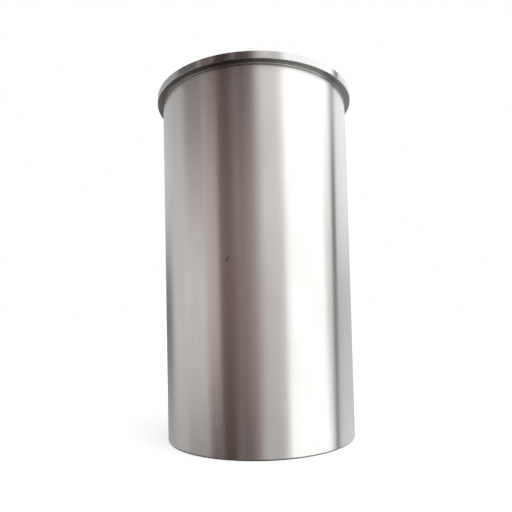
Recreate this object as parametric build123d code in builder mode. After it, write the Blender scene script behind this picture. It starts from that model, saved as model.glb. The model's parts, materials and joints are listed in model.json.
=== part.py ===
"""Flanged dry cylinder liner: a thin turned tube with a locating flange at its upper end.

The liner stands on its lower end. The origin is the centre of that end's face, and +Z runs along
the bore's axis towards the flange. All sizes are in millimetres.
"""

import os

from build123d import *

# Tube
BORE_DIAMETER = 104.0
WALL = 1.5
OVERALL_LENGTH = 195.7

# Flange that hangs the liner in the block's counterbore and takes the head gasket's load
FLANGE_OVERHANG = 3.2  # how far it stands out from the barrel
FLANGE_HEIGHT = 3.9
FLANGE_TOP_BREAK = 0.25  # chamfer on its upper outer corner
FLANGE_SEAT_BREAK = 0.25  # chamfer on its lower outer corner

# Relief turned into the barrel under the flange, so that the seat meets the counterbore squarely
RELIEF_DEPTH = 0.35
RELIEF_FLOOR = 0.8  # its straight part, from the seat down
RELIEF_RUNOUT = 0.6  # the height over which it slopes back out to the barrel
SEAT_SETBACK = 0.05  # how far outside the barrel the seat's flat begins, so that a ring slid up lies flat

# Lead-in at the lower end, which starts the barrel in the block's bore
LEAD_IN_HEIGHT = 0.8
LEAD_IN_DEPTH = 0.4

# Breaks at the two ends of the bore
BORE_TOP_BREAK = 0.4  # guides the piston rings in
BORE_FOOT_BREAK = 0.5

# Places that follow from the sizes above
BORE_RADIUS = BORE_DIAMETER / 2
BARREL_RADIUS = BORE_RADIUS + WALL
FLANGE_RADIUS = BARREL_RADIUS + FLANGE_OVERHANG
RELIEF_RADIUS = BARREL_RADIUS - RELIEF_DEPTH
RELIEF_CORNER = RELIEF_DEPTH + SEAT_SETBACK
SEAT_Z = OVERALL_LENGTH - FLANGE_HEIGHT
RELIEF_FLOOR_Z = SEAT_Z - RELIEF_FLOOR
RELIEF_FOOT_Z = RELIEF_FLOOR_Z - RELIEF_RUNOUT

MATCH = 0.001  # how closely an edge's radius and height are matched when it is picked


def turned_edge(part, radius, height):
    """Return the one circular edge of a turned part that has this radius and height."""
    rings = part.edges().filter_by(GeomType.CIRCLE)
    level = rings.filter_by_position(Axis.Z, height - MATCH, height + MATCH)
    return level.filter_by(lambda edge: abs(edge.radius - radius) < MATCH)[0]


with BuildPart() as cylinder_liner:
    # Half section of the blank, from the foot of the bore round to its top
    with BuildSketch(Plane.XZ):
        with BuildLine():
            Polyline(
                (BORE_RADIUS, 0),
                (BARREL_RADIUS, 0),
                (BARREL_RADIUS, RELIEF_FOOT_Z),
                (RELIEF_RADIUS, RELIEF_FLOOR_Z),
                (RELIEF_RADIUS, SEAT_Z),
                (FLANGE_RADIUS, SEAT_Z),
                (FLANGE_RADIUS, OVERALL_LENGTH),
                (BORE_RADIUS, OVERALL_LENGTH),
                close=True,
            )
        make_face()
    revolve(axis=Axis.Z)

    # Corner of the relief
    fillet(turned_edge(cylinder_liner, RELIEF_RADIUS, SEAT_Z), radius=RELIEF_CORNER)

    # Breaks on the flange
    chamfer(turned_edge(cylinder_liner, FLANGE_RADIUS, OVERALL_LENGTH), length=FLANGE_TOP_BREAK)
    chamfer(turned_edge(cylinder_liner, FLANGE_RADIUS, SEAT_Z), length=FLANGE_SEAT_BREAK)

    # Lead-in at the foot, taller than it is deep: its first length lies on the end face
    end_face = cylinder_liner.faces().filter_by(Plane.XY).sort_by(Axis.Z)[0]
    chamfer(
        turned_edge(cylinder_liner, BARREL_RADIUS, 0),
        length=LEAD_IN_DEPTH,
        length2=LEAD_IN_HEIGHT,
        reference=end_face,
    )

    # Breaks on the bore
    chamfer(turned_edge(cylinder_liner, BORE_RADIUS, OVERALL_LENGTH), length=BORE_TOP_BREAK)
    chamfer(turned_edge(cylinder_liner, BORE_RADIUS, 0), length=BORE_FOOT_BREAK)

cylinder_liner.part.label = "cylinder_liner"

os.makedirs("parts", exist_ok=True)
export_step(cylinder_liner.part, "parts/cylinder_liner.step")
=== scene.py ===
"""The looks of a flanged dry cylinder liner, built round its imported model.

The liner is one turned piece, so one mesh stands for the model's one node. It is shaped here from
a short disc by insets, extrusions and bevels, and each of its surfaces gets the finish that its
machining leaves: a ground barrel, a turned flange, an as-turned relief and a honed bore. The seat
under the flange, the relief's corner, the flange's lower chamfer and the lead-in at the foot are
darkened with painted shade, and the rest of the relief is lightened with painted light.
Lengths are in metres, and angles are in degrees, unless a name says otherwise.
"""

import json
import logging
import math
from collections.abc import Callable
from dataclasses import dataclass, field
from enum import Enum

import bmesh
import bpy
from mathutils import Matrix, Vector


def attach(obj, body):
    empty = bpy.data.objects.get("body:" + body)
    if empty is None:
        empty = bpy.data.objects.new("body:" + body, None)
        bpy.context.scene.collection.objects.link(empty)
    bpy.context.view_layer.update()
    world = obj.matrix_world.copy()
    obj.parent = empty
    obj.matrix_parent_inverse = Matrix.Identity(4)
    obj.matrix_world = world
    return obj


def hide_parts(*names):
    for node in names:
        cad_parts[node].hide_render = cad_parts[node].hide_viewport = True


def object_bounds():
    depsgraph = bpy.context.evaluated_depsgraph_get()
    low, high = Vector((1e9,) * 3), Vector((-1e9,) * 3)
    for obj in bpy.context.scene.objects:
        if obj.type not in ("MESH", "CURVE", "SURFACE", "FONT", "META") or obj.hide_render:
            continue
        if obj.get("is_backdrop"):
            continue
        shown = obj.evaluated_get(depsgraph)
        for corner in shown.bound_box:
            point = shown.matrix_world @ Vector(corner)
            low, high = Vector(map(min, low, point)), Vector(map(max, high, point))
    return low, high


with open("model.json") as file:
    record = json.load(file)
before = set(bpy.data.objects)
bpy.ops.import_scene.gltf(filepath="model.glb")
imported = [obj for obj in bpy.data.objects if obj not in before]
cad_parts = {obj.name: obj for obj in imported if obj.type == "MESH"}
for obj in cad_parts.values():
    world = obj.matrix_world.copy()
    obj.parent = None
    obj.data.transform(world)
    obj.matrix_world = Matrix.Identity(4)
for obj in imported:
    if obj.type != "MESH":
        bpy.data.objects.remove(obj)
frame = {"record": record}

LOG = logging.getLogger("cylinder_liner")
NODE = "cylinder_liner"
BODY = "root"

Colour = tuple[float, float, float]
Feed = bpy.types.NodeSocket | float | tuple[float, ...]

MM_PER_METRE = 1000
WHITE = (1.0, 1.0, 1.0, 1.0)
MIX_COLOURS = (6, 7)  # a mix node's colour inputs, which come after those for numbers and vectors
MIX_RESULT = 2  # its colour output
NOISE_SPAN = (0.3, 0.7)  # the levels between which most of a noise lies
QUARTER_TURN = 0.25
FILM_STRETCH = 0.45  # upright frequency of the film, as a share of its frequency across
WAVE_STRETCH = 0.07  # the same for the slight flats
WORN_COLOUR = (0.86, 0.85, 0.83)
WORN_SHARE = 0.6  # how far a fully worn edge takes on that colour
WORN_POLISH = 0.06  # how much smoother a fully worn edge is
WORN_WIDTH = 0.0006  # how far wear reaches from an edge


# Node trees


class Socket(Enum):
    """Kinds of socket that a node group takes and gives."""

    NUMBER = "NodeSocketFloat"
    COLOUR = "NodeSocketColor"


class Graph:
    """A node tree, with short ways to add nodes and join them."""

    def __init__(self, tree: bpy.types.NodeTree) -> None:
        """Work on a tree.

        Args:
            tree: The tree that the nodes go into.
        """
        self.tree = tree

    def node(self, kind: str, **settings: object) -> bpy.types.Node:
        """Add a node.

        Args:
            kind: Its type, such as ShaderNodeMath.
            **settings: Properties to set on it.

        Returns:
            The node.
        """
        made = self.tree.nodes.new(kind)
        for name, value in settings.items():
            setattr(made, name, value)
        return made

    def feed(self, socket: bpy.types.NodeSocket, value: Feed) -> None:
        """Join a socket's input to another socket, or set its value.

        Args:
            socket: The input.
            value: A socket to link, or a number or tuple to set.
        """
        if isinstance(value, bpy.types.NodeSocket):
            self.tree.links.new(value, socket)
        else:
            socket.default_value = value

    def math(self, operation: str, *inputs: Feed) -> bpy.types.NodeSocket:
        """Work out a number from others.

        Args:
            operation: The Math node's operation.
            *inputs: Its inputs, in order.

        Returns:
            The result.
        """
        made = self.node("ShaderNodeMath", operation=operation)
        for socket, value in zip(made.inputs, inputs):
            self.feed(socket, value)
        return made.outputs[0]

    def ramp(
        self, value: Feed, low: Feed, high: Feed, start: Feed = 0.0, end: Feed = 1.0
    ) -> bpy.types.NodeSocket:
        """Carry a number smoothly from one range to another, and hold it beyond the ends.

        Args:
            value: The number.
            low: Where it starts to change.
            high: Where it stops changing.
            start: The result at low.
            end: The result at high.

        Returns:
            The result.
        """
        made = self.node("ShaderNodeMapRange", interpolation_type="SMOOTHSTEP")
        names = ("Value", "From Min", "From Max", "To Min", "To Max")
        for name, given in zip(names, (value, low, high, start, end)):
            self.feed(made.inputs[name], given)
        return made.outputs["Result"]

    def mix(self, share: Feed, first: Feed, second: Feed) -> bpy.types.NodeSocket:
        """Mix two colours.

        Args:
            share: How much of the second colour there is.
            first: The colour at 0.
            second: The colour at 1.

        Returns:
            The mixed colour.
        """
        made = self.node("ShaderNodeMix", data_type="RGBA")
        self.feed(made.inputs["Factor"], share)
        for index, colour in zip(MIX_COLOURS, (first, second)):
            linked = isinstance(colour, bpy.types.NodeSocket)
            self.feed(made.inputs[index], colour if linked else (*colour, 1.0))
        return made.outputs[MIX_RESULT]

    def noise(
        self, vector: Feed, scale: Feed, detail: float = 2.0, roughness: float = 0.5
    ) -> bpy.types.NodeSocket:
        """Read smooth noise.

        Args:
            vector: Where it is read.
            scale: Its frequency.
            detail: How many finer layers it has.
            roughness: How strong the finer layers are.

        Returns:
            The noise, about 0.5 on average.
        """
        made = self.node("ShaderNodeTexNoise", normalize=True)
        self.feed(made.inputs["Vector"], vector)
        self.feed(made.inputs["Scale"], scale)
        made.inputs["Detail"].default_value = detail
        made.inputs["Roughness"].default_value = roughness
        return made.outputs["Fac"]

    def place(self) -> bpy.types.NodeSocket:
        """Return the point on the object, in its own coordinates."""
        return self.node("ShaderNodeTexCoord").outputs["Object"]

    def split(self, vector: Feed) -> tuple[bpy.types.NodeSocket, ...]:
        """Take a vector apart into its three numbers.

        Args:
            vector: The vector.

        Returns:
            The three numbers.
        """
        made = self.node("ShaderNodeSeparateXYZ")
        self.feed(made.inputs[0], vector)
        return tuple(made.outputs)

    def bearing(self, x: Feed, y: Feed) -> bpy.types.NodeSocket:
        """Work out where a point lies round the axis.

        Args:
            x: Its place along X.
            y: Its place along Y.

        Returns:
            The angle from the front towards +X, in radians.
        """
        return self.math("ARCTAN2", x, self.math("MULTIPLY", y, -1.0))

    def scaled(self, vector: Feed, by: Feed) -> bpy.types.NodeSocket:
        """Multiply a vector by another, axis by axis.

        Args:
            vector: The vector.
            by: What each axis is multiplied by.

        Returns:
            The product.
        """
        made = self.node("ShaderNodeVectorMath", operation="MULTIPLY")
        self.feed(made.inputs[0], vector)
        self.feed(made.inputs[1], by)
        return made.outputs[0]

    def joined(self, x: Feed, y: Feed, z: Feed) -> bpy.types.NodeSocket:
        """Make a vector of three numbers.

        Args:
            x: Its first number.
            y: Its second number.
            z: Its third number.

        Returns:
            The vector.
        """
        made = self.node("ShaderNodeCombineXYZ")
        for socket, value in zip(made.inputs, (x, y, z)):
            self.feed(socket, value)
        return made.outputs[0]

    def group(self, tree: bpy.types.NodeTree, **inputs: Feed) -> bpy.types.Node:
        """Place a node group.

        Args:
            tree: The group's own tree.
            **inputs: What its inputs get, with underscores for the spaces in their names.

        Returns:
            The group node.
        """
        made = self.node("ShaderNodeGroup", node_tree=tree)
        for name, value in inputs.items():
            self.feed(made.inputs[name.replace("_", " ")], value)
        return made


def new_group(
    name: str, takes: dict[str, Socket], gives: dict[str, Socket]
) -> tuple[Graph, dict[str, bpy.types.NodeSocket], bpy.types.Node]:
    """Start a node group.

    Args:
        name: The group's name.
        takes: Its inputs and their kinds.
        gives: Its outputs and their kinds.

    Returns:
        The graph, the inputs by name, and the node that takes the outputs.
    """
    tree = bpy.data.node_groups.new(name, "ShaderNodeTree")
    for label, kind in takes.items():
        tree.interface.new_socket(label, in_out="INPUT", socket_type=kind.value)
    for label, kind in gives.items():
        tree.interface.new_socket(label, in_out="OUTPUT", socket_type=kind.value)
    graph = Graph(tree)
    entry = graph.node("NodeGroupInput")
    return graph, {label: entry.outputs[label] for label in takes}, graph.node("NodeGroupOutput")


class Effects:
    """The surface effects that the finishes share, each a node group that is built once."""

    def __init__(self) -> None:
        """Build every group."""
        self.unrolled = self._unrolled()
        self.lines = self._lines()
        self.film = self._film()
        self.waves = self._waves()
        self.mark = self._mark()
        self.edge_wear = self._edge_wear()
        self.honing = self._honing()

    @staticmethod
    def _unrolled() -> bpy.types.NodeTree:
        """Where a point lies round the axis, in radians from the front, and its height and radius.

        Returns:
            The group's tree.
        """
        gives = {"Angle": Socket.NUMBER, "Height": Socket.NUMBER, "Radius": Socket.NUMBER}
        graph, _, result = new_group("unrolled_surface", {}, gives)
        x, y, z = graph.split(graph.place())
        graph.feed(result.inputs["Angle"], graph.bearing(x, y))
        graph.feed(result.inputs["Height"], z)
        squares = graph.math("ADD", graph.math("MULTIPLY", x, x), graph.math("MULTIPLY", y, y))
        graph.feed(result.inputs["Radius"], graph.math("SQRT", squares))
        return graph.tree

    @staticmethod
    def _lines() -> bpy.types.NodeTree:
        """Fine lines that a tool or wheel leaves round the axis.

        Returns:
            The group's tree.
        """
        takes = {"Across": Socket.NUMBER, "Per Metre": Socket.NUMBER}
        graph, inputs, result = new_group("machined_lines", takes, {"Line": Socket.NUMBER})
        wander = 6.0
        x, y, _ = graph.split(graph.scaled(graph.place(), (wander, wander, wander)))
        depth = graph.math("MULTIPLY", inputs["Across"], inputs["Per Metre"])
        vector = graph.joined(x, y, depth)
        graph.feed(result.inputs["Line"], graph.noise(vector, 1.0, detail=3.0, roughness=0.65))
        return graph.tree

    @staticmethod
    def _film() -> bpy.types.NodeTree:
        """Uneven cloudiness, as oil and handling leave on bare metal.

        Returns:
            The group's tree.
        """
        takes = {"Per Metre": Socket.NUMBER, "Low": Socket.NUMBER, "High": Socket.NUMBER}
        graph, inputs, result = new_group("handling_film", takes, {"Film": Socket.NUMBER})
        stretched = graph.scaled(graph.place(), (1.0, 1.0, FILM_STRETCH))
        cloud = graph.noise(stretched, inputs["Per Metre"], detail=5.0, roughness=0.55)
        graph.feed(result.inputs["Film"], graph.ramp(cloud, inputs["Low"], inputs["High"]))
        return graph.tree

    @staticmethod
    def _waves() -> bpy.types.NodeTree:
        """Slight flats that a wheel or tool leaves round a surface, long in the axis's direction.

        Returns:
            The group's tree.
        """
        takes = {"Per Metre": Socket.NUMBER, "Stretch": Socket.NUMBER}
        graph, inputs, result = new_group("wheel_waves", takes, {"Wave": Socket.NUMBER})
        stretched = graph.scaled(graph.place(), graph.joined(1.0, 1.0, inputs["Stretch"]))
        wave = graph.noise(stretched, inputs["Per Metre"], detail=2.0, roughness=0.5)
        graph.feed(result.inputs["Wave"], wave)
        return graph.tree

    @staticmethod
    def _mark() -> bpy.types.NodeTree:
        """One straight mark on a round surface: a nick, a scratch or a speck.

        Returns:
            The group's tree.
        """
        place = ("Angle", "Height", "Radius", "At Angle", "At Height")
        takes = dict.fromkeys((*place, "Lean", "Half Length", "Half Width"), Socket.NUMBER)
        graph, inputs, result = new_group("surface_mark", takes, {"Mask": Socket.NUMBER})
        turned = graph.math("SUBTRACT", inputs["Angle"], inputs["At Angle"])
        across = graph.math("MULTIPLY", turned, inputs["Radius"])
        up = graph.math("SUBTRACT", inputs["Height"], inputs["At Height"])
        cosine, sine = graph.math("COSINE", inputs["Lean"]), graph.math("SINE", inputs["Lean"])
        upright, level = graph.math("MULTIPLY", up, cosine), graph.math("MULTIPLY", across, cosine)
        along = graph.math("ADD", upright, graph.math("MULTIPLY", across, sine))
        aside = graph.math("SUBTRACT", level, graph.math("MULTIPLY", up, sine))
        share_along = graph.math("DIVIDE", graph.math("ABSOLUTE", along), inputs["Half Length"])
        share_aside = graph.math("DIVIDE", graph.math("ABSOLUTE", aside), inputs["Half Width"])
        full_along, full_aside = 0.55, 0.2
        ends = graph.ramp(share_along, full_along, 1.0, 1.0, 0.0)
        sides = graph.ramp(share_aside, full_aside, 1.0, 1.0, 0.0)
        graph.feed(result.inputs["Mask"], graph.math("MULTIPLY", ends, sides))
        return graph.tree

    @staticmethod
    def _edge_wear() -> bpy.types.NodeTree:
        """Rubbing along one turned edge, broken up by noise.

        Returns:
            The group's tree.
        """
        numbers = ("Height", "Radius", "Edge Height", "Edge Radius", "Width")
        takes = dict.fromkeys(numbers, Socket.NUMBER)
        graph, inputs, result = new_group("edge_wear", takes, {"Wear": Socket.NUMBER})
        up = graph.math("SUBTRACT", inputs["Height"], inputs["Edge Height"])
        out = graph.math("SUBTRACT", inputs["Radius"], inputs["Edge Radius"])
        squares = graph.math("ADD", graph.math("MULTIPLY", up, up), graph.math("MULTIPLY", out, out))
        share = graph.math("DIVIDE", graph.math("SQRT", squares), inputs["Width"])
        per_metre, fully_worn = 420.0, 0.2
        farther, nearer = 1.6, 0.8  # what the noise makes of a distance, where it is low and where high
        uneven = graph.noise(graph.place(), per_metre, detail=3.0)
        reach = graph.math("MULTIPLY", share, graph.ramp(uneven, *NOISE_SPAN, farther, nearer))
        graph.feed(result.inputs["Wear"], graph.ramp(reach, fully_worn, 1.0, 1.0, 0.0))
        return graph.tree

    @staticmethod
    def _honing() -> bpy.types.NodeTree:
        """Lines that a hone leaves along one helix of the bore.

        Returns:
            The group's tree.
        """
        takes = dict.fromkeys(("Angle", "Height", "Turns Per Metre", "Per Turn"), Socket.NUMBER)
        graph, inputs, result = new_group("hone_lines", takes, {"Line": Socket.NUMBER})
        turns = graph.math("MULTIPLY", inputs["Height"], inputs["Turns Per Metre"])
        turn = graph.math("MULTIPLY", turns, math.tau)
        phase = graph.math("ADD", inputs["Angle"], turn)
        circle = graph.joined(graph.math("COSINE", phase), graph.math("SINE", phase), 0.0)
        line = graph.noise(circle, inputs["Per Turn"], detail=5.0, roughness=0.75)
        graph.feed(result.inputs["Line"], line)
        return graph.tree


# Finishes


@dataclass(frozen=True)
class Mark:
    """A nick, scratch or speck on the barrel.

    Attributes:
        angle: Where it is round the barrel, from the front towards +X.
        height: Its height above the foot.
        lean: How far its length leans from upright.
        length: Its length.
        width: Its width.
        shade: What the metal's colour is multiplied by in it.
        depth: How deep it is cut, below zero where it stands up.
    """

    angle: float
    height: float
    lean: float
    length: float
    width: float
    shade: float
    depth: float


MARKS = (
    Mark(angle=-15.7, height=0.0959, lean=30.0, length=0.0034, width=0.0010, shade=0.06, depth=0.00006),
    Mark(angle=-23.5, height=0.0170, lean=2.0, length=0.0080, width=0.0003, shade=1.25, depth=0.00001),
    Mark(angle=-23.5, height=0.0130, lean=2.0, length=0.0011, width=0.0006, shade=0.35, depth=0.00002),
    Mark(angle=-38.0, height=0.0560, lean=0.0, length=0.0160, width=0.0004, shade=0.90, depth=0.00001),
    Mark(angle=0.5, height=0.0765, lean=88.0, length=0.0260, width=0.0004, shade=0.92, depth=0.00001),
)


@dataclass
class Skin:
    """A material while it is built, with what feeds its shader so far.

    Attributes:
        graph: The material's graph.
        effects: The shared node groups.
        place: The node that says where a point lies.
        sizes: The liner's sizes.
        colour: The metal's colour.
        roughness: The roughness.
        height: The bump's height, or 0 while nothing is cut or raised.
    """

    graph: Graph
    effects: Effects
    place: bpy.types.Node
    sizes: "LinerSizes"
    colour: Feed
    roughness: Feed
    height: Feed


@dataclass(frozen=True)
class MetalFinish:
    """One machined surface of the liner.

    Attributes:
        name: The material's name.
        colour: The metal's colour where it is clean. On the seat and the lead-in it holds painted
            shade, and on the relief painted light.
        film_colour: Its colour under the handling film.
        roughness: How rough it is where it is clean.
        film_roughness: How rough it is under the film.
        anisotropy: How far the machined lines stretch a highlight across them.
        film_size: Cloud frequency of the film, per metre.
        film_range: The noise levels at which the film starts and is full.
        line_pitch: Frequency of the machined lines, per metre.
        line_contrast: How much the lines vary the roughness.
        radial: Whether the lines follow one another outwards, as on a faced end.
        wave_pitch: Frequency of the slight flats round the surface, per metre.
        wave_depth: Height of the flats.
    """

    name: str
    colour: Colour
    film_colour: Colour
    roughness: float
    film_roughness: float
    anisotropy: float = 0.0
    film_size: float = 22.0
    film_range: tuple[float, float] = (0.42, 0.70)
    line_pitch: float = 5000.0
    line_contrast: float = 0.03
    radial: bool = False
    wave_pitch: float = 160.0
    wave_depth: float = 0.0

    def material(self, effects: Effects, sizes: "LinerSizes") -> bpy.types.Material:
        """Build the material.

        Args:
            effects: The shared node groups.
            sizes: The liner's sizes, which place the worn edges.

        Returns:
            The material.
        """
        made = bpy.data.materials.new(self.name)
        made.use_nodes = True
        graph = Graph(made.node_tree)
        shader = made.node_tree.nodes["Principled BSDF"]
        shader.inputs["Metallic"].default_value = 1.0
        place = graph.group(effects.unrolled)
        low, high = self.film_range
        film = graph.group(effects.film, Per_Metre=self.film_size, Low=low, High=high)
        across = place.outputs["Radius"] if self.radial else place.outputs["Height"]
        lines = graph.group(effects.lines, Across=across, Per_Metre=self.line_pitch)
        colour = graph.mix(film.outputs["Film"], self.colour, self.film_colour)
        roughness = graph.ramp(film.outputs["Film"], 0.0, 1.0, self.roughness, self.film_roughness)
        streak = graph.ramp(lines.outputs["Line"], *NOISE_SPAN, -self.line_contrast, self.line_contrast)
        roughness = graph.math("ADD", roughness, streak)
        height = 0.0
        if self.wave_depth:
            waves = graph.group(effects.waves, Per_Metre=self.wave_pitch, Stretch=WAVE_STRETCH)
            height = graph.math("MULTIPLY", waves.outputs["Wave"], self.wave_depth)
        skin = Skin(graph, effects, place, sizes, colour, roughness, height)
        self.detail(skin)
        graph.feed(shader.inputs["Base Color"], skin.colour)
        graph.feed(shader.inputs["Roughness"], skin.roughness)
        if isinstance(skin.height, bpy.types.NodeSocket):
            bump = graph.node("ShaderNodeBump")
            bump.inputs["Distance"].default_value = 1.0
            graph.feed(bump.inputs["Height"], skin.height)
            graph.feed(shader.inputs["Normal"], bump.outputs["Normal"])
        if self.anisotropy:
            shader.inputs["Anisotropic"].default_value = self.anisotropy
            shader.inputs["Anisotropic Rotation"].default_value = QUARTER_TURN
            tangent = graph.node("ShaderNodeTangent", direction_type="RADIAL", axis="Z")
            graph.feed(shader.inputs["Tangent"], tangent.outputs["Tangent"])
        return made

    def detail(self, skin: Skin) -> None:
        """Rub the handled edges bright, and add what else only this surface has.

        Args:
            skin: The material so far, which takes the detail.
        """
        graph = skin.graph
        wear = None
        for edge_radius, edge_height in skin.sizes.handled_edges:
            rubbed = graph.group(
                skin.effects.edge_wear,
                Height=skin.place.outputs["Height"],
                Radius=skin.place.outputs["Radius"],
                Edge_Height=edge_height,
                Edge_Radius=edge_radius,
                Width=WORN_WIDTH,
            ).outputs["Wear"]
            wear = rubbed if wear is None else graph.math("MAXIMUM", wear, rubbed)
        skin.colour = graph.mix(graph.math("MULTIPLY", wear, WORN_SHARE), skin.colour, WORN_COLOUR)
        polish = graph.math("MULTIPLY", wear, WORN_POLISH)
        skin.roughness = graph.math("SUBTRACT", skin.roughness, polish)


@dataclass(frozen=True)
class GroundFinish(MetalFinish):
    """The ground barrel, with the marks of its handling."""

    def detail(self, skin: Skin) -> None:
        """Add the worn edges and every mark.

        Args:
            skin: The material so far, which takes the detail.
        """
        super().detail(skin)
        graph = skin.graph
        for mark in MARKS:
            mask = graph.group(
                skin.effects.mark,
                Angle=skin.place.outputs["Angle"],
                Height=skin.place.outputs["Height"],
                Radius=skin.place.outputs["Radius"],
                At_Angle=math.radians(mark.angle),
                At_Height=mark.height,
                Lean=math.radians(mark.lean),
                Half_Length=mark.length / 2,
                Half_Width=mark.width / 2,
            ).outputs["Mask"]
            shaded = graph.scaled(skin.colour, (mark.shade, mark.shade, mark.shade))
            skin.colour = graph.mix(mask, skin.colour, shaded)
            cut = graph.math("MULTIPLY", mask, mark.depth)
            skin.height = graph.math("SUBTRACT", skin.height, cut)


@dataclass(frozen=True)
class ReliefFinish(MetalFinish):
    """The relief, with painted shade darkening its corner under the seat.

    Attributes:
        corner_shade_colour: The colour of the painted shade in the corner.
        corner_shade_reach: How far below the seat the painted shade ends.
    """

    corner_shade_colour: Colour = (0.36, 0.35, 0.34)
    corner_shade_reach: float = 0.0004

    def detail(self, skin: Skin) -> None:
        """Paint shade into the corner under the seat.

        Args:
            skin: The material so far, which takes the detail.
        """
        seat = skin.sizes.seat
        height = skin.place.outputs["Height"]
        # Painted shade: the relief gets darker towards the seat, in the corner under the flange.
        fully_shaded = self.corner_shade_reach / 3
        corner = skin.graph.ramp(height, seat - self.corner_shade_reach, seat - fully_shaded)
        skin.colour = skin.graph.mix(corner, skin.colour, self.corner_shade_colour)


@dataclass(frozen=True)
class HonedFinish(MetalFinish):
    """The bore, with a hone's crossing helices.

    Attributes:
        lay_angle: How steeply the lines climb.
        per_turn: Frequency of the lines round the bore.
        lay_range: The noise levels at which a line starts and is full.
        lay_depth: How deep the lines are cut.
        lay_colour: The metal's colour in a line.
        lay_share: How far a full line takes on that colour.
        lay_roughness: How much rougher a full line is.
    """

    lay_angle: float = 30.0
    per_turn: float = 44.0
    lay_range: tuple[float, float] = (0.50, 0.66)
    lay_depth: float = 0.000012
    lay_colour: Colour = (0.38, 0.375, 0.37)
    lay_share: float = 0.5
    lay_roughness: float = 0.12

    def detail(self, skin: Skin) -> None:
        """Add the worn edges and the crossing lines.

        Args:
            skin: The material so far, which takes the detail.
        """
        super().detail(skin)
        graph = skin.graph
        turns_per_metre = 1.0 / (math.tau * skin.sizes.bore * math.tan(math.radians(self.lay_angle)))
        crossing = None
        for turns in (turns_per_metre, -turns_per_metre):
            lay = graph.group(
                skin.effects.honing,
                Angle=skin.place.outputs["Angle"],
                Height=skin.place.outputs["Height"],
                Turns_Per_Metre=turns,
                Per_Turn=self.per_turn,
            ).outputs["Line"]
            groove = graph.ramp(lay, *self.lay_range)
            crossing = groove if crossing is None else graph.math("MAXIMUM", crossing, groove)
        share = graph.math("MULTIPLY", crossing, self.lay_share)
        skin.colour = graph.mix(share, skin.colour, self.lay_colour)
        rougher = graph.math("MULTIPLY", crossing, self.lay_roughness)
        skin.roughness = graph.math("ADD", skin.roughness, rougher)
        cut = graph.math("MULTIPLY", crossing, self.lay_depth)
        skin.height = graph.math("SUBTRACT", skin.height, cut)


class Surface(Enum):
    """The machined surfaces of the liner, each with its finish."""

    BARREL = GroundFinish(
        name="barrel_ground",
        colour=(0.78, 0.77, 0.755),
        film_colour=(0.72, 0.705, 0.69),
        roughness=0.25,
        film_roughness=0.285,
        anisotropy=0.8,
        line_pitch=7000.0,
        line_contrast=0.004,
        wave_depth=0.00003,
    )
    RIM = MetalFinish(
        name="flange_rim_turned",
        colour=(0.68, 0.675, 0.665),
        film_colour=(0.60, 0.59, 0.58),
        roughness=0.14,
        film_roughness=0.18,
        anisotropy=0.7,
        line_pitch=3500.0,
        line_contrast=0.04,
    )
    # The seat's dark colour and film colour are painted shade: the recess under the flange is darkened
    # in the metal's colour.
    SEAT = MetalFinish(
        name="seat_as_turned",
        colour=(0.21, 0.205, 0.2),
        film_colour=(0.15, 0.145, 0.14),
        roughness=0.27,
        film_roughness=0.33,
        anisotropy=0.7,
        line_pitch=4500.0,
        line_contrast=0.06,
        radial=True,
    )
    # The relief's colour and film colour are set lighter than the barrel's. This is painted light that
    # offsets the flange's shade on the relief.
    RELIEF = ReliefFinish(
        name="relief_turned",
        colour=(0.90, 0.89, 0.875),
        film_colour=(0.84, 0.83, 0.815),
        roughness=0.22,
        film_roughness=0.26,
        anisotropy=0.8,
        line_pitch=4500.0,
        line_contrast=0.06,
    )
    END_FACE = MetalFinish(
        name="end_face_ground",
        colour=(0.76, 0.755, 0.745),
        film_colour=(0.68, 0.67, 0.655),
        roughness=0.3,
        film_roughness=0.36,
        anisotropy=0.5,
        line_pitch=9000.0,
        line_contrast=0.06,
        radial=True,
    )
    BORE = HonedFinish(
        name="bore_honed",
        colour=(0.70, 0.70, 0.695),
        film_colour=(0.64, 0.635, 0.625),
        roughness=0.3,
        film_roughness=0.36,
        line_contrast=0.02,
    )
    # The lead-in's dark colour and film colour are painted shade: the foot's edge is darkened where the
    # liner meets the floor.
    LEAD_IN = MetalFinish(
        name="lead_in_turned",
        colour=(0.42, 0.41, 0.40),
        film_colour=(0.34, 0.33, 0.32),
        roughness=0.34,
        film_roughness=0.4,
        line_pitch=4500.0,
        line_contrast=0.06,
    )
    BREAK = MetalFinish(
        name="edge_break_turned",
        colour=(0.8, 0.79, 0.775),
        film_colour=(0.7, 0.69, 0.675),
        roughness=0.24,
        film_roughness=0.3,
    )


# The liner


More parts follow.
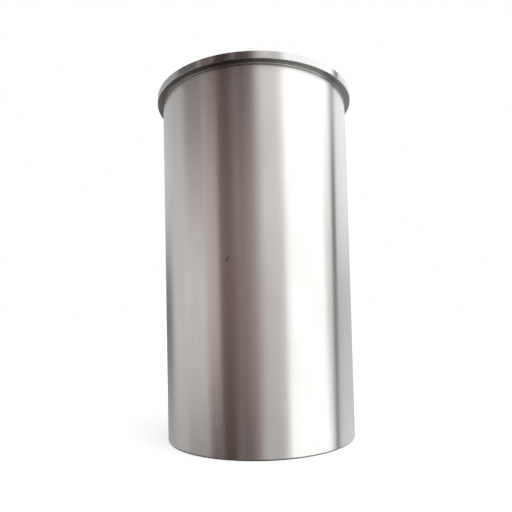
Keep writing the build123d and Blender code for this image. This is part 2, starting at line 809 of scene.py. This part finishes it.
@dataclass(frozen=True)
class LinerSizes:
    """The liner's turned section.

    Attributes:
        bore: Radius of the bore.
        barrel: Radius of the barrel.
        flange: Radius of the flange.
        top: Height of the top face above the foot.
        seat: Height of the flange's seat.
        relief_foot: Height where the relief runs out into the barrel.
        lead_in: Height of the lead-in at the foot.
        flange_break: Size of the chamfers on the flange.
        bore_top_break: Size of the chamfer at the bore's top.
        bore_foot_break: Size of the chamfer at the bore's foot.
        relief_depth: How deep the relief is turned into the barrel.
        relief_runout: Over what height it slopes back out.
        seat_setback: How far outside the barrel the seat's flat begins.
        lead_in_depth: How far the lead-in comes in at the foot.
    """

    bore: float
    barrel: float
    flange: float
    top: float
    seat: float
    relief_foot: float
    lead_in: float
    flange_break: float
    bore_top_break: float
    bore_foot_break: float
    relief_depth: float = 0.00035
    relief_runout: float = 0.0006
    seat_setback: float = 0.00005
    lead_in_depth: float = 0.0004

    @classmethod
    def from_record(cls, record: dict, top: float) -> "LinerSizes":
        """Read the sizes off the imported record's mounts.

        Args:
            record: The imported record.
            top: The height of the model.

        Returns:
            The sizes.
        """
        mounts = {mount["name"]: mount for mount in record["mounts"]}

        def span(name: str) -> tuple[float, float, float]:
            """Look up where a round mount's wall is.

            Args:
                name: The mount's name.

            Returns:
                Its radius and the two heights between which it runs.
            """
            mount = mounts[name]
            middle, half = mount["pos_m"][2], mount["dims"]["length_mm"] / MM_PER_METRE / 2
            return mount["dims"]["r_mm"] / MM_PER_METRE, middle - half, middle + half

        bore, bore_low, bore_high = span("bore")
        barrel, barrel_low, barrel_high = span("barrel_fit")
        flange, _, flange_high = span("flange_spigot")
        return cls(
            bore=bore,
            barrel=barrel,
            flange=flange,
            top=top,
            seat=mounts["flange_seat"]["pos_m"][2],
            relief_foot=barrel_high,
            lead_in=barrel_low,
            flange_break=top - flange_high,
            bore_top_break=top - bore_high,
            bore_foot_break=bore_low,
        )

    @property
    def relief(self) -> float:
        """Radius of the relief's floor."""
        return self.barrel - self.relief_depth

    @property
    def foot(self) -> float:
        """Radius of the barrel where its lead-in ends."""
        return self.barrel - self.lead_in_depth

    @property
    def handled_edges(self) -> tuple[tuple[float, float], ...]:
        """Radius and height of each edge that handling rubs bright."""
        return (self.flange, self.top), (self.bore, self.top)


@dataclass
class Liner:
    """The liner, turned from a disc the size of its flange.

    Attributes:
        sizes: Its turned section.
        segments: How many facets the round has.
        corner_segments: How many facets the relief's corner radius has.
        edge_radius: The tiny radius left on every edge.
        piece: The liner's object, once its blank is made.
    """

    # How far a face's normal has to point one way for the face to count as facing it
    FACING_IN = 0.8
    FACING_DOWN = 0.8
    FACING_ALONG = 0.9
    FACING_OUT = 0.95

    SOFT_SEGMENTS = 2  # facets of the tiny radius
    SOFT_ANGLE = 20.0  # how sharp an edge has to be to get it
    SMOOTH_ANGLE = 35.0  # how sharp an edge has to be to show as one

    sizes: LinerSizes
    segments: int = 288
    corner_segments: int = 6
    edge_radius: float = 0.00004
    piece: bpy.types.Object = field(init=False)

    def build(self, effects: Effects) -> None:
        """Shape the liner, give each surface its finish and fit it to the frame.

        Args:
            effects: The shared node groups.
        """
        self.piece = self._blank()
        self._draw_barrel()
        self._open_bore()
        self._break_edges()
        self._soften_edges()
        self._dress(effects)
        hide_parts(NODE)
        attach(self.piece, BODY)
        LOG.info("liner: %d faces on %s", len(self.piece.data.polygons), BODY)

    def _blank(self) -> bpy.types.Object:
        """Add a plain disc the size of the flange, in place.

        Returns:
            The disc.
        """
        sizes = self.sizes
        bpy.ops.object.select_all(action="DESELECT")
        bpy.ops.mesh.primitive_cylinder_add(
            vertices=self.segments,
            radius=sizes.flange,
            depth=sizes.top - sizes.seat,
            location=(0.0, 0.0, (sizes.top + sizes.seat) / 2),
        )
        disc = bpy.context.object
        disc.name = "liner_turned"
        bpy.ops.object.transform_apply(location=True, rotation=True, scale=True)
        return disc

    def _pick(self, mode: str, chosen: Callable[[object], bool]) -> None:
        """Select faces or edges in edit mode by their place, and nothing else.

        Args:
            mode: FACE or EDGE.
            chosen: Says of a face or edge whether it is selected.
        """
        bpy.ops.mesh.select_mode(type=mode)
        bpy.ops.mesh.select_all(action="DESELECT")
        shape = bmesh.from_edit_mesh(self.piece.data)
        for item in shape.faces if mode == "FACE" else shape.edges:
            if chosen(item):
                item.select_set(True)
        bmesh.update_edit_mesh(self.piece.data)

    def _pick_cap(self, height: float) -> None:
        """Select the flat face that closes the shape at a height.

        Args:
            height: The face's height.
        """

        def is_cap(face: bmesh.types.BMFace) -> bool:
            """Tell whether a face has the whole round's corners and lies at the height."""
            level = abs(face.calc_center_median().z - height) < self.edge_radius
            return level and len(face.verts) == self.segments

        self._pick("FACE", is_cap)

    def _pick_ring(self, radius: float, height: float) -> None:
        """Select the ring of edges at a radius and height.

        Args:
            radius: The ring's radius.
            height: The ring's height.
        """

        def on_ring(edge: bmesh.types.BMEdge) -> bool:
            """Tell whether both ends of an edge lie on the ring."""
            level = all(abs(vert.co.z - height) < self.edge_radius for vert in edge.verts)
            return level and self._at_radius(edge, radius)

        self._pick("EDGE", on_ring)

    def _at_radius(self, edge: bmesh.types.BMEdge, radius: float) -> bool:
        """Tell whether both ends of an edge lie at a radius.

        Args:
            edge: The edge.
            radius: The radius.

        Returns:
            Whether they do.
        """
        ends = (math.hypot(vert.co.x, vert.co.y) for vert in edge.verts)
        return all(abs(end - radius) < self.edge_radius for end in ends)

    def _draw(self, radius: float, height: float, from_radius: float, from_height: float) -> None:
        """Extrude the selected cap down to a new radius and height.

        Args:
            radius: The radius it ends at.
            height: The height it ends at.
            from_radius: The radius it has now.
            from_height: The height it has now.
        """
        down = (0.0, 0.0, height - from_height)
        bpy.ops.mesh.extrude_region_move(TRANSFORM_OT_translate={"value": down})
        share = radius / from_radius
        bpy.ops.transform.resize(value=(share, share, 1.0), center_override=(0.0, 0.0, height))

    def _draw_barrel(self) -> None:
        """Draw the relief, the barrel and the lead-in down from the flange's seat."""
        sizes = self.sizes
        bpy.ops.object.mode_set(mode="EDIT")
        self._pick_cap(sizes.seat)
        bpy.ops.mesh.inset(thickness=sizes.flange - sizes.relief)
        stations = (
            (sizes.relief, sizes.seat),
            (sizes.relief, sizes.relief_foot + sizes.relief_runout),
            (sizes.barrel, sizes.relief_foot),
            (sizes.barrel, sizes.lead_in),
            (sizes.foot, 0.0),
        )
        for (from_radius, from_height), (radius, height) in zip(stations, stations[1:]):
            self._draw(radius, height, from_radius, from_height)

    def _open_bore(self) -> None:
        """Open the bore through from end to end."""
        sizes = self.sizes
        for radius, height in ((sizes.foot, 0.0), (sizes.flange, sizes.top)):
            self._pick_cap(height)
            bpy.ops.mesh.inset(thickness=radius - sizes.bore)
            bpy.ops.mesh.delete(type="FACE")
        self._pick("EDGE", lambda edge: edge.is_boundary and self._at_radius(edge, sizes.bore))
        bpy.ops.mesh.bridge_edge_loops()

    def _break_edges(self) -> None:
        """Chamfer the flange and the bore's ends, and round the relief's corner."""
        sizes = self.sizes
        corner = sizes.relief_depth + sizes.seat_setback
        cuts = (
            (sizes.flange, sizes.top, sizes.flange_break, 1),
            (sizes.flange, sizes.seat, sizes.flange_break, 1),
            (sizes.bore, sizes.top, sizes.bore_top_break, 1),
            (sizes.bore, 0.0, sizes.bore_foot_break, 1),
            (sizes.relief, sizes.seat, corner, self.corner_segments),
        )
        for radius, height, size, segments in cuts:
            self._pick_ring(radius, height)
            bpy.ops.mesh.bevel(offset=size, segments=segments, affect="EDGES", clamp_overlap=False)
        bpy.ops.mesh.select_all(action="SELECT")
        bpy.ops.mesh.normals_make_consistent(inside=False)
        bpy.ops.object.mode_set(mode="OBJECT")

    def _soften_edges(self) -> None:
        """Leave a tiny radius on every edge, and let the large faces set the shading."""
        sharp = math.radians(self.SOFT_ANGLE)
        self._modify("BEVEL", width=self.edge_radius, segments=self.SOFT_SEGMENTS, angle_limit=sharp)
        bpy.ops.object.shade_smooth_by_angle(angle=math.radians(self.SMOOTH_ANGLE))
        self._modify("WEIGHTED_NORMAL", keep_sharp=True)

    def _modify(self, kind: str, **settings: object) -> None:
        """Put a modifier on the piece and apply it.

        Args:
            kind: The modifier's type, such as BEVEL.
            **settings: Properties to set on it.
        """
        bpy.ops.object.modifier_add(type=kind)
        modifier = self.piece.modifiers[-1]
        for name, value in settings.items():
            setattr(modifier, name, value)
        bpy.ops.object.modifier_apply(modifier=modifier.name)

    def _surface_of(self, face: bpy.types.MeshPolygon) -> Surface:
        """Tell which machined surface a face belongs to.

        Args:
            face: The face.

        Returns:
            The surface.
        """
        sizes = self.sizes
        centre, normal = face.center, face.normal
        radius = math.hypot(centre.x, centre.y)
        outward = (centre.x * normal.x + centre.y * normal.y) / radius
        if outward < -self.FACING_IN:
            return Surface.BORE
        under_flange = sizes.relief_foot < centre.z < sizes.seat + self.edge_radius
        if under_flange and radius < sizes.flange - self.edge_radius:
            return Surface.SEAT if normal.z < -self.FACING_DOWN else Surface.RELIEF
        # The flange's lower chamfer takes the rim's darker colour instead of the edge break's. This is
        # painted shade along the flange's lower edge.
        if sizes.seat < centre.z < sizes.seat + sizes.flange_break:
            return Surface.RIM
        if abs(normal.z) > self.FACING_ALONG:
            return Surface.END_FACE
        if centre.z < sizes.lead_in:
            return Surface.LEAD_IN
        if outward > self.FACING_OUT:
            return Surface.RIM if centre.z > sizes.seat else Surface.BARREL
        return Surface.BREAK

    def _dress(self, effects: Effects) -> None:
        """Give each face the finish of its surface.

        Args:
            effects: The shared node groups.
        """
        slots = {}
        for index, surface in enumerate(Surface):
            self.piece.data.materials.append(surface.value.material(effects, self.sizes))
            slots[surface] = index
        for face in self.piece.data.polygons:
            face.material_index = slots[self._surface_of(face)]


# The studio


@dataclass(frozen=True)
class Stripe:
    """One upright part of the room that the polished metal mirrors.

    Attributes:
        name: What it is.
        start: The direction where it starts, from the camera's side towards +X.
        end: The direction where it ends.
        bright: Its brightness at each of the studio's lifts, from the floor up.
        fade_in: Over how many degrees it comes in.
        fade_out: Over how many degrees it goes.
        tint: Its colour.
        lean: How many degrees it shifts towards +X per degree of lift.
    """

    name: str
    start: float
    end: float
    bright: tuple[float, float, float, float, float]
    fade_in: float = 6.0
    fade_out: float = 6.0
    tint: Colour = (1.0, 1.0, 1.0)
    lean: float = 0.0


# Each row: name, start, end, brightness from the floor up, fade in, fade out, tint
STRIPES = (
    Stripe("left_corner", -176.0, -105.0, (0.14, 0.44, 0.20, 0.66, 0.50), 8.0, 6.0),
    Stripe(
        "left_wall_far", -123.0, -96.0, (0.25, 0.40, 0.68, 0.58, 0.46), 28.0, 12.0, (1.03, 0.995, 0.99)
    ),
    Stripe(
        "left_wall_near", -96.0, -62.0, (0.16, 0.22, 0.83, 0.47, 0.14), 14.0, 6.0, (1.05, 0.99, 0.97)
    ),
    Stripe("door_frame", -61.0, -45.0, (0.03, 0.0, 0.57, 0.50, 0.14), 3.0, 5.0, (1.19, 0.965, 0.915)),
    Stripe("front_wall", 5.0, 28.5, (0.40, 0.44, 0.69, 0.80, 0.76), 20.0, 5.0, (1.03, 0.995, 0.98)),
    Stripe("door_side", -20.0, 3.0, (0.10, 0.18, 0.36, 0.38, 0.13), 4.0, 18.0, (1.20, 0.965, 0.935)),
    Stripe("doorway", -45.0, -13.0, (0.02, 0.038, 0.148, 0.16, 0.045), 5.0, 40.0, (1.38, 0.925, 0.84)),
    Stripe("window", 33.0, 87.0, (0.60, 1.52, 1.40, 1.46, 1.40), 8.0, 8.0),
    Stripe("window_sash", 87.0, 100.0, (0.60, 1.22, 0.88, 1.06, 1.60), 8.0, 4.0),
    Stripe("window_frame", 97.0, 105.6, (0.30, 0.0, 0.04, 0.04, 0.40), 1.0, 3.0, lean=0.20),
    Stripe("right_wall", 105.6, 146.0, (0.50, 0.82, 0.60, 0.98, 1.08), 3.0, 10.0, lean=0.20),
)


@dataclass
class Studio:
    """A white studio: what lights the liner, what it mirrors and what it stands on.

    Attributes:
        wall_radius: How far off the mirrored room stands.
        wall_reach: How far the room reaches above and below the floor.
        room: The bare room's brightness at each of the lifts, from the floor up.
        stripes: What stands in the room, each laid over the one before.
        under_colour: The dim card below the room.
        floor_radius: How far the floor reaches.
        floor_grey: The floor's colour, the same in red, green and blue.
        floor_roughness: The floor's roughness.
        floor_glow: What lifts the floor to white where it is looked at.
        lamp_place: Where the lamp hangs.
        lamp_size: The lamp's diameter.
        lamp_watts: The lamp's power.
        world_level: The world's brightness where it only lights something.
    """

    # The angles above the horizon at which a brightness is given, and what each is called
    LIFTS = (-30.0, -20.0, 5.0, 22.0, 34.0)
    LEVELS = ("Floor", "Low", "Level", "High", "Top")

    # How many facets each round has
    WALL_SEGMENTS = 180
    CARD_SEGMENTS = 64
    FLOOR_SEGMENTS = 96

    wall_radius: float = 1.2
    wall_reach: float = 2.4
    room: tuple[float, float, float, float, float] = (1.3, 0.75, 0.55, 0.75, 0.9)
    stripes: tuple[Stripe, ...] = STRIPES
    under_colour: Colour = (0.12, 0.115, 0.11)
    floor_radius: float = 6.0
    floor_grey: float = 0.82
    floor_roughness: float = 0.9
    floor_glow: float = 0.42
    lamp_place: tuple[float, float, float] = (0.55, -0.45, 1.5)
    lamp_size: float = 1.1
    lamp_watts: float = 7.0
    world_level: float = 0.75

    def build(self) -> None:
        """Make the room, the floor, the lamp and the world."""
        self._wall()
        self._under_floor()
        self._floor()
        self._lamp()
        self._world()
        LOG.info("studio: %d stripes", len(self.stripes))

    @staticmethod
    def _mirrored_only(card: bpy.types.Object) -> None:
        """Let only reflections see a card.

        Args:
            card: The card.
        """
        card.visible_camera = False
        card.visible_diffuse = False
        card.visible_shadow = False
        card.visible_transmission = False
        card.visible_volume_scatter = False
        card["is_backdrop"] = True

    @staticmethod
    def _glow(name: str) -> tuple[bpy.types.Material, Graph, bpy.types.Node]:
        """Start a material that only glows.

        Args:
            name: The material's name.

        Returns:
            The material, its graph and its emission node.
        """
        made = bpy.data.materials.new(name)
        made.use_nodes = True
        made.cycles.emission_sampling = "NONE"
        made.node_tree.nodes.clear()
        graph = Graph(made.node_tree)
        glow = graph.node("ShaderNodeEmission")
        output = graph.node("ShaderNodeOutputMaterial")
        graph.feed(output.inputs["Surface"], glow.outputs[0])
        return made, graph, glow

    @staticmethod
    def _disc(name: str, radius: float, segments: int, height: float) -> bpy.types.Object:
        """Add a flat disc about the axis.

        Args:
            name: Its name.
            radius: Its radius.
            segments: How many facets its rim has.
            height: The height at which it lies.

        Returns:
            The disc.
        """
        bpy.ops.object.select_all(action="DESELECT")
        bpy.ops.mesh.primitive_circle_add(
            vertices=segments,
            radius=radius,
            fill_type="NGON",
            location=(0.0, 0.0, height),
        )
        disc = bpy.context.object
        disc.name = name
        return disc

    def _profile(self, graph: Graph, lift: Feed, levels: tuple[Feed, ...]) -> Feed:
        """Carry a brightness from the floor up to the ceiling.

        Args:
            graph: The graph that it is worked out in.
            lift: The angle above the horizon.
            levels: The brightness at each of the lifts.

        Returns:
            The brightness at that angle.
        """
        bright = levels[0]
        for start, end, below, above in zip(self.LIFTS, self.LIFTS[1:], levels, levels[1:]):
            rise = graph.math("SUBTRACT", above, below)
            bright = graph.math("ADD", bright, graph.ramp(lift, start, end, 0.0, rise))
        return bright

    def _stripe_group(self) -> bpy.types.NodeTree:
        """Build the group that lays one stripe over what is behind it.

        Returns:
            The group's tree.
        """
        takes = {"Behind": Socket.COLOUR, "Tint": Socket.COLOUR}
        numbers = ("Direction", "Lift", "Start", "End", "Fade In", "Fade Out", "Lean")
        takes |= dict.fromkeys(numbers + self.LEVELS, Socket.NUMBER)
        graph, inputs, result = new_group("room_stripe", takes, {"Colour": Socket.COLOUR})
        half_in = graph.math("MULTIPLY", inputs["Fade In"], 0.5)
        half_out = graph.math("MULTIPLY", inputs["Fade Out"], 0.5)
        leaned = graph.math("MULTIPLY", inputs["Lift"], inputs["Lean"])
        direction = graph.math("SUBTRACT", inputs["Direction"], leaned)
        enter = graph.ramp(
            direction,
            graph.math("SUBTRACT", inputs["Start"], half_in),
            graph.math("ADD", inputs["Start"], half_in),
        )
        leave = graph.ramp(
            direction,
            graph.math("SUBTRACT", inputs["End"], half_out),
            graph.math("ADD", inputs["End"], half_out),
            1.0,
            0.0,
        )
        bright = self._profile(graph, inputs["Lift"], tuple(inputs[name] for name in self.LEVELS))
        lit = graph.node("ShaderNodeVectorMath", operation="SCALE")
        graph.feed(lit.inputs[0], inputs["Tint"])
        graph.feed(lit.inputs["Scale"], bright)
        share = graph.math("MULTIPLY", enter, leave)
        graph.feed(result.inputs["Colour"], graph.mix(share, inputs["Behind"], lit.outputs[0]))
        return graph.tree

    def _wall(self) -> None:
        """Make the mirrored room as a ring round the liner, with its stripes."""
        bpy.ops.object.select_all(action="DESELECT")
        bpy.ops.mesh.primitive_cylinder_add(
            vertices=self.WALL_SEGMENTS,
            radius=self.wall_radius,
            depth=2 * self.wall_reach,
            end_fill_type="NOTHING",
        )
        wall = bpy.context.object
        wall.name = "studio_room"
        made, graph, glow = self._glow("studio_room")
        x, y, z = graph.split(graph.place())
        direction = graph.math("DEGREES", graph.bearing(x, y))
        slope = graph.math("DIVIDE", z, self.wall_radius)
        lift = graph.math("DEGREES", graph.math("ARCTANGENT", slope))
        bare = self._profile(graph, lift, self.room)
        colour = graph.joined(bare, bare, bare)
        stripe_group = self._stripe_group()
        for stripe in self.stripes:
            laid = graph.group(
                stripe_group,
                Behind=colour,
                Tint=(*stripe.tint, 1.0),
                Direction=direction,
                Lift=lift,
                Start=stripe.start,
                End=stripe.end,
                Fade_In=stripe.fade_in,
                Fade_Out=stripe.fade_out,
                Lean=stripe.lean,
                **dict(zip(self.LEVELS, stripe.bright)),
            )
            laid.label = stripe.name
            colour = laid.outputs["Colour"]
        graph.feed(glow.inputs["Color"], colour)
        wall.data.materials.append(made)
        self._mirrored_only(wall)

    def _under_floor(self) -> None:
        """Close the room below with a dim card, which the foot's lead-in mirrors."""
        card = self._disc("studio_under_floor", self.wall_radius, self.CARD_SEGMENTS, -self.wall_reach)
        made, _, glow = self._glow("studio_under_floor")
        glow.inputs["Color"].default_value = (*self.under_colour, 1.0)
        card.data.materials.append(made)
        self._mirrored_only(card)

    def _floor(self) -> None:
        """Make the pale floor, white to the camera where no shadow falls.

        The liner's metal doesn't mirror it. The room and the card below it stand in for it there, so
        what _seen says of reflections changes nothing on the floor.
        """
        floor = self._disc("studio_floor", self.floor_radius, self.FLOOR_SEGMENTS, 0.0)
        made = bpy.data.materials.new("studio_floor")
        made.use_nodes = True
        shader = made.node_tree.nodes["Principled BSDF"]
        grey = self.floor_grey
        shader.inputs["Base Color"].default_value = (grey, grey, grey, 1.0)
        shader.inputs["Roughness"].default_value = self.floor_roughness
        shader.inputs["Specular IOR Level"].default_value = 0.0
        graph = Graph(made.node_tree)
        shader.inputs["Emission Color"].default_value = WHITE
        glow = graph.math("MULTIPLY", self._seen(graph), self.floor_glow)
        graph.feed(shader.inputs["Emission Strength"], glow)
        floor.data.materials.append(made)
        floor.visible_glossy = False
        floor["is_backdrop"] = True

    def _lamp(self) -> None:
        """Hang a large soft lamp over the liner, for its shadow on the floor."""
        lamp = bpy.data.lights.new("soft_lamp", "AREA")
        lamp.shape = "DISK"
        lamp.size = self.lamp_size
        lamp.energy = self.lamp_watts
        holder = bpy.data.objects.new("soft_lamp", lamp)
        bpy.context.scene.collection.objects.link(holder)
        holder.location = self.lamp_place
        holder.rotation_euler = (-holder.location).to_track_quat("-Z", "Y").to_euler()
        holder.visible_glossy = False

    def _world(self) -> None:
        """Fill the rest with white, and light the floor at a plain level."""
        world = bpy.data.worlds.new("studio_world")
        bpy.context.scene.world = world
        world.use_nodes = True
        graph = Graph(world.node_tree)
        background = world.node_tree.nodes["Background"]
        background.inputs["Color"].default_value = WHITE
        strength = graph.ramp(self._seen(graph), 0.0, 1.0, self.world_level, 1.0)
        graph.feed(background.inputs["Strength"], strength)

    @staticmethod
    def _seen(graph: Graph) -> bpy.types.NodeSocket:
        """Tell whether a surface is looked at, straight on or in metal or glass.

        Args:
            graph: The graph that asks.

        Returns:
            1 where it is looked at, and 0 where it only lights something.
        """
        path = graph.node("ShaderNodeLightPath")
        seen = graph.math("MAXIMUM", path.outputs["Is Camera Ray"], path.outputs["Is Glossy Ray"])
        return graph.math("MAXIMUM", seen, path.outputs["Is Transmission Ray"])


# The camera


@dataclass(frozen=True)
class CameraPlace:
    """Where the camera stands, and how it looks at the liner.

    Attributes:
        distance: How far in front of the liner's axis it is.
        height: How high it is above the foot.
        pitch: How far it looks up.
        roll: How far it is rolled about its view.
        yaw: How far it looks towards +X.
        focal_pixels: Its focal length, in pixels of the frame.
        centre_row: The frame's row that its view's centre falls on.
        frame_pixels: The frame's width and height, in pixels.
        sensor: The sensor's width, in millimetres.
        nearest: How near a thing can be and still be seen.
    """

    distance: float = 0.27154
    height: float = 0.06610
    pitch: float = 2.517
    roll: float = -1.367
    yaw: float = -0.302
    focal_pixels: float = 458.89
    centre_row: float = 300.17
    frame_pixels: float = 512.0
    sensor: float = 36.0
    nearest: float = 0.01

    def build(self) -> None:
        """Make the camera and hand it to the scene."""
        data = bpy.data.cameras.new("studio_camera")
        data.sensor_width = self.sensor
        data.lens = self.focal_pixels / self.frame_pixels * self.sensor
        data.shift_y = (self.centre_row - self.frame_pixels / 2) / self.frame_pixels
        data.clip_start = self.nearest
        camera = bpy.data.objects.new("studio_camera", data)
        bpy.context.scene.collection.objects.link(camera)
        pitch, roll, yaw = (math.radians(angle) for angle in (self.pitch, self.roll, self.yaw))
        level = Vector((math.sin(yaw), math.cos(yaw), 0.0))
        ahead = level * math.cos(pitch) + Vector((0.0, 0.0, math.sin(pitch)))
        right = Vector((math.cos(yaw), -math.sin(yaw), 0.0))
        above = right.cross(ahead)
        leaned_right = right * math.cos(roll) + above * math.sin(roll)
        leaned_above = above * math.cos(roll) - right * math.sin(roll)
        axes = Matrix((leaned_right, leaned_above, -ahead)).transposed()
        stand = Matrix.Translation((0.0, -self.distance, self.height))
        camera.matrix_world = stand @ axes.to_4x4()
        bpy.context.scene.camera = camera
        LOG.info("camera: lens %.2f mm, shift %.4f", data.lens, data.shift_y)


def main() -> None:
    """Build the liner and its studio."""
    logging.basicConfig(level=logging.INFO, format="%(name)s %(message)s")
    cad_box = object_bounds()
    bpy.context.scene.view_settings.view_transform = "Standard"
    CameraPlace().build()
    sizes = LinerSizes.from_record(frame["record"], top=cad_box[1].z)
    Liner(sizes).build(Effects())
    Studio().build()


if __name__ == "__main__":
    main()
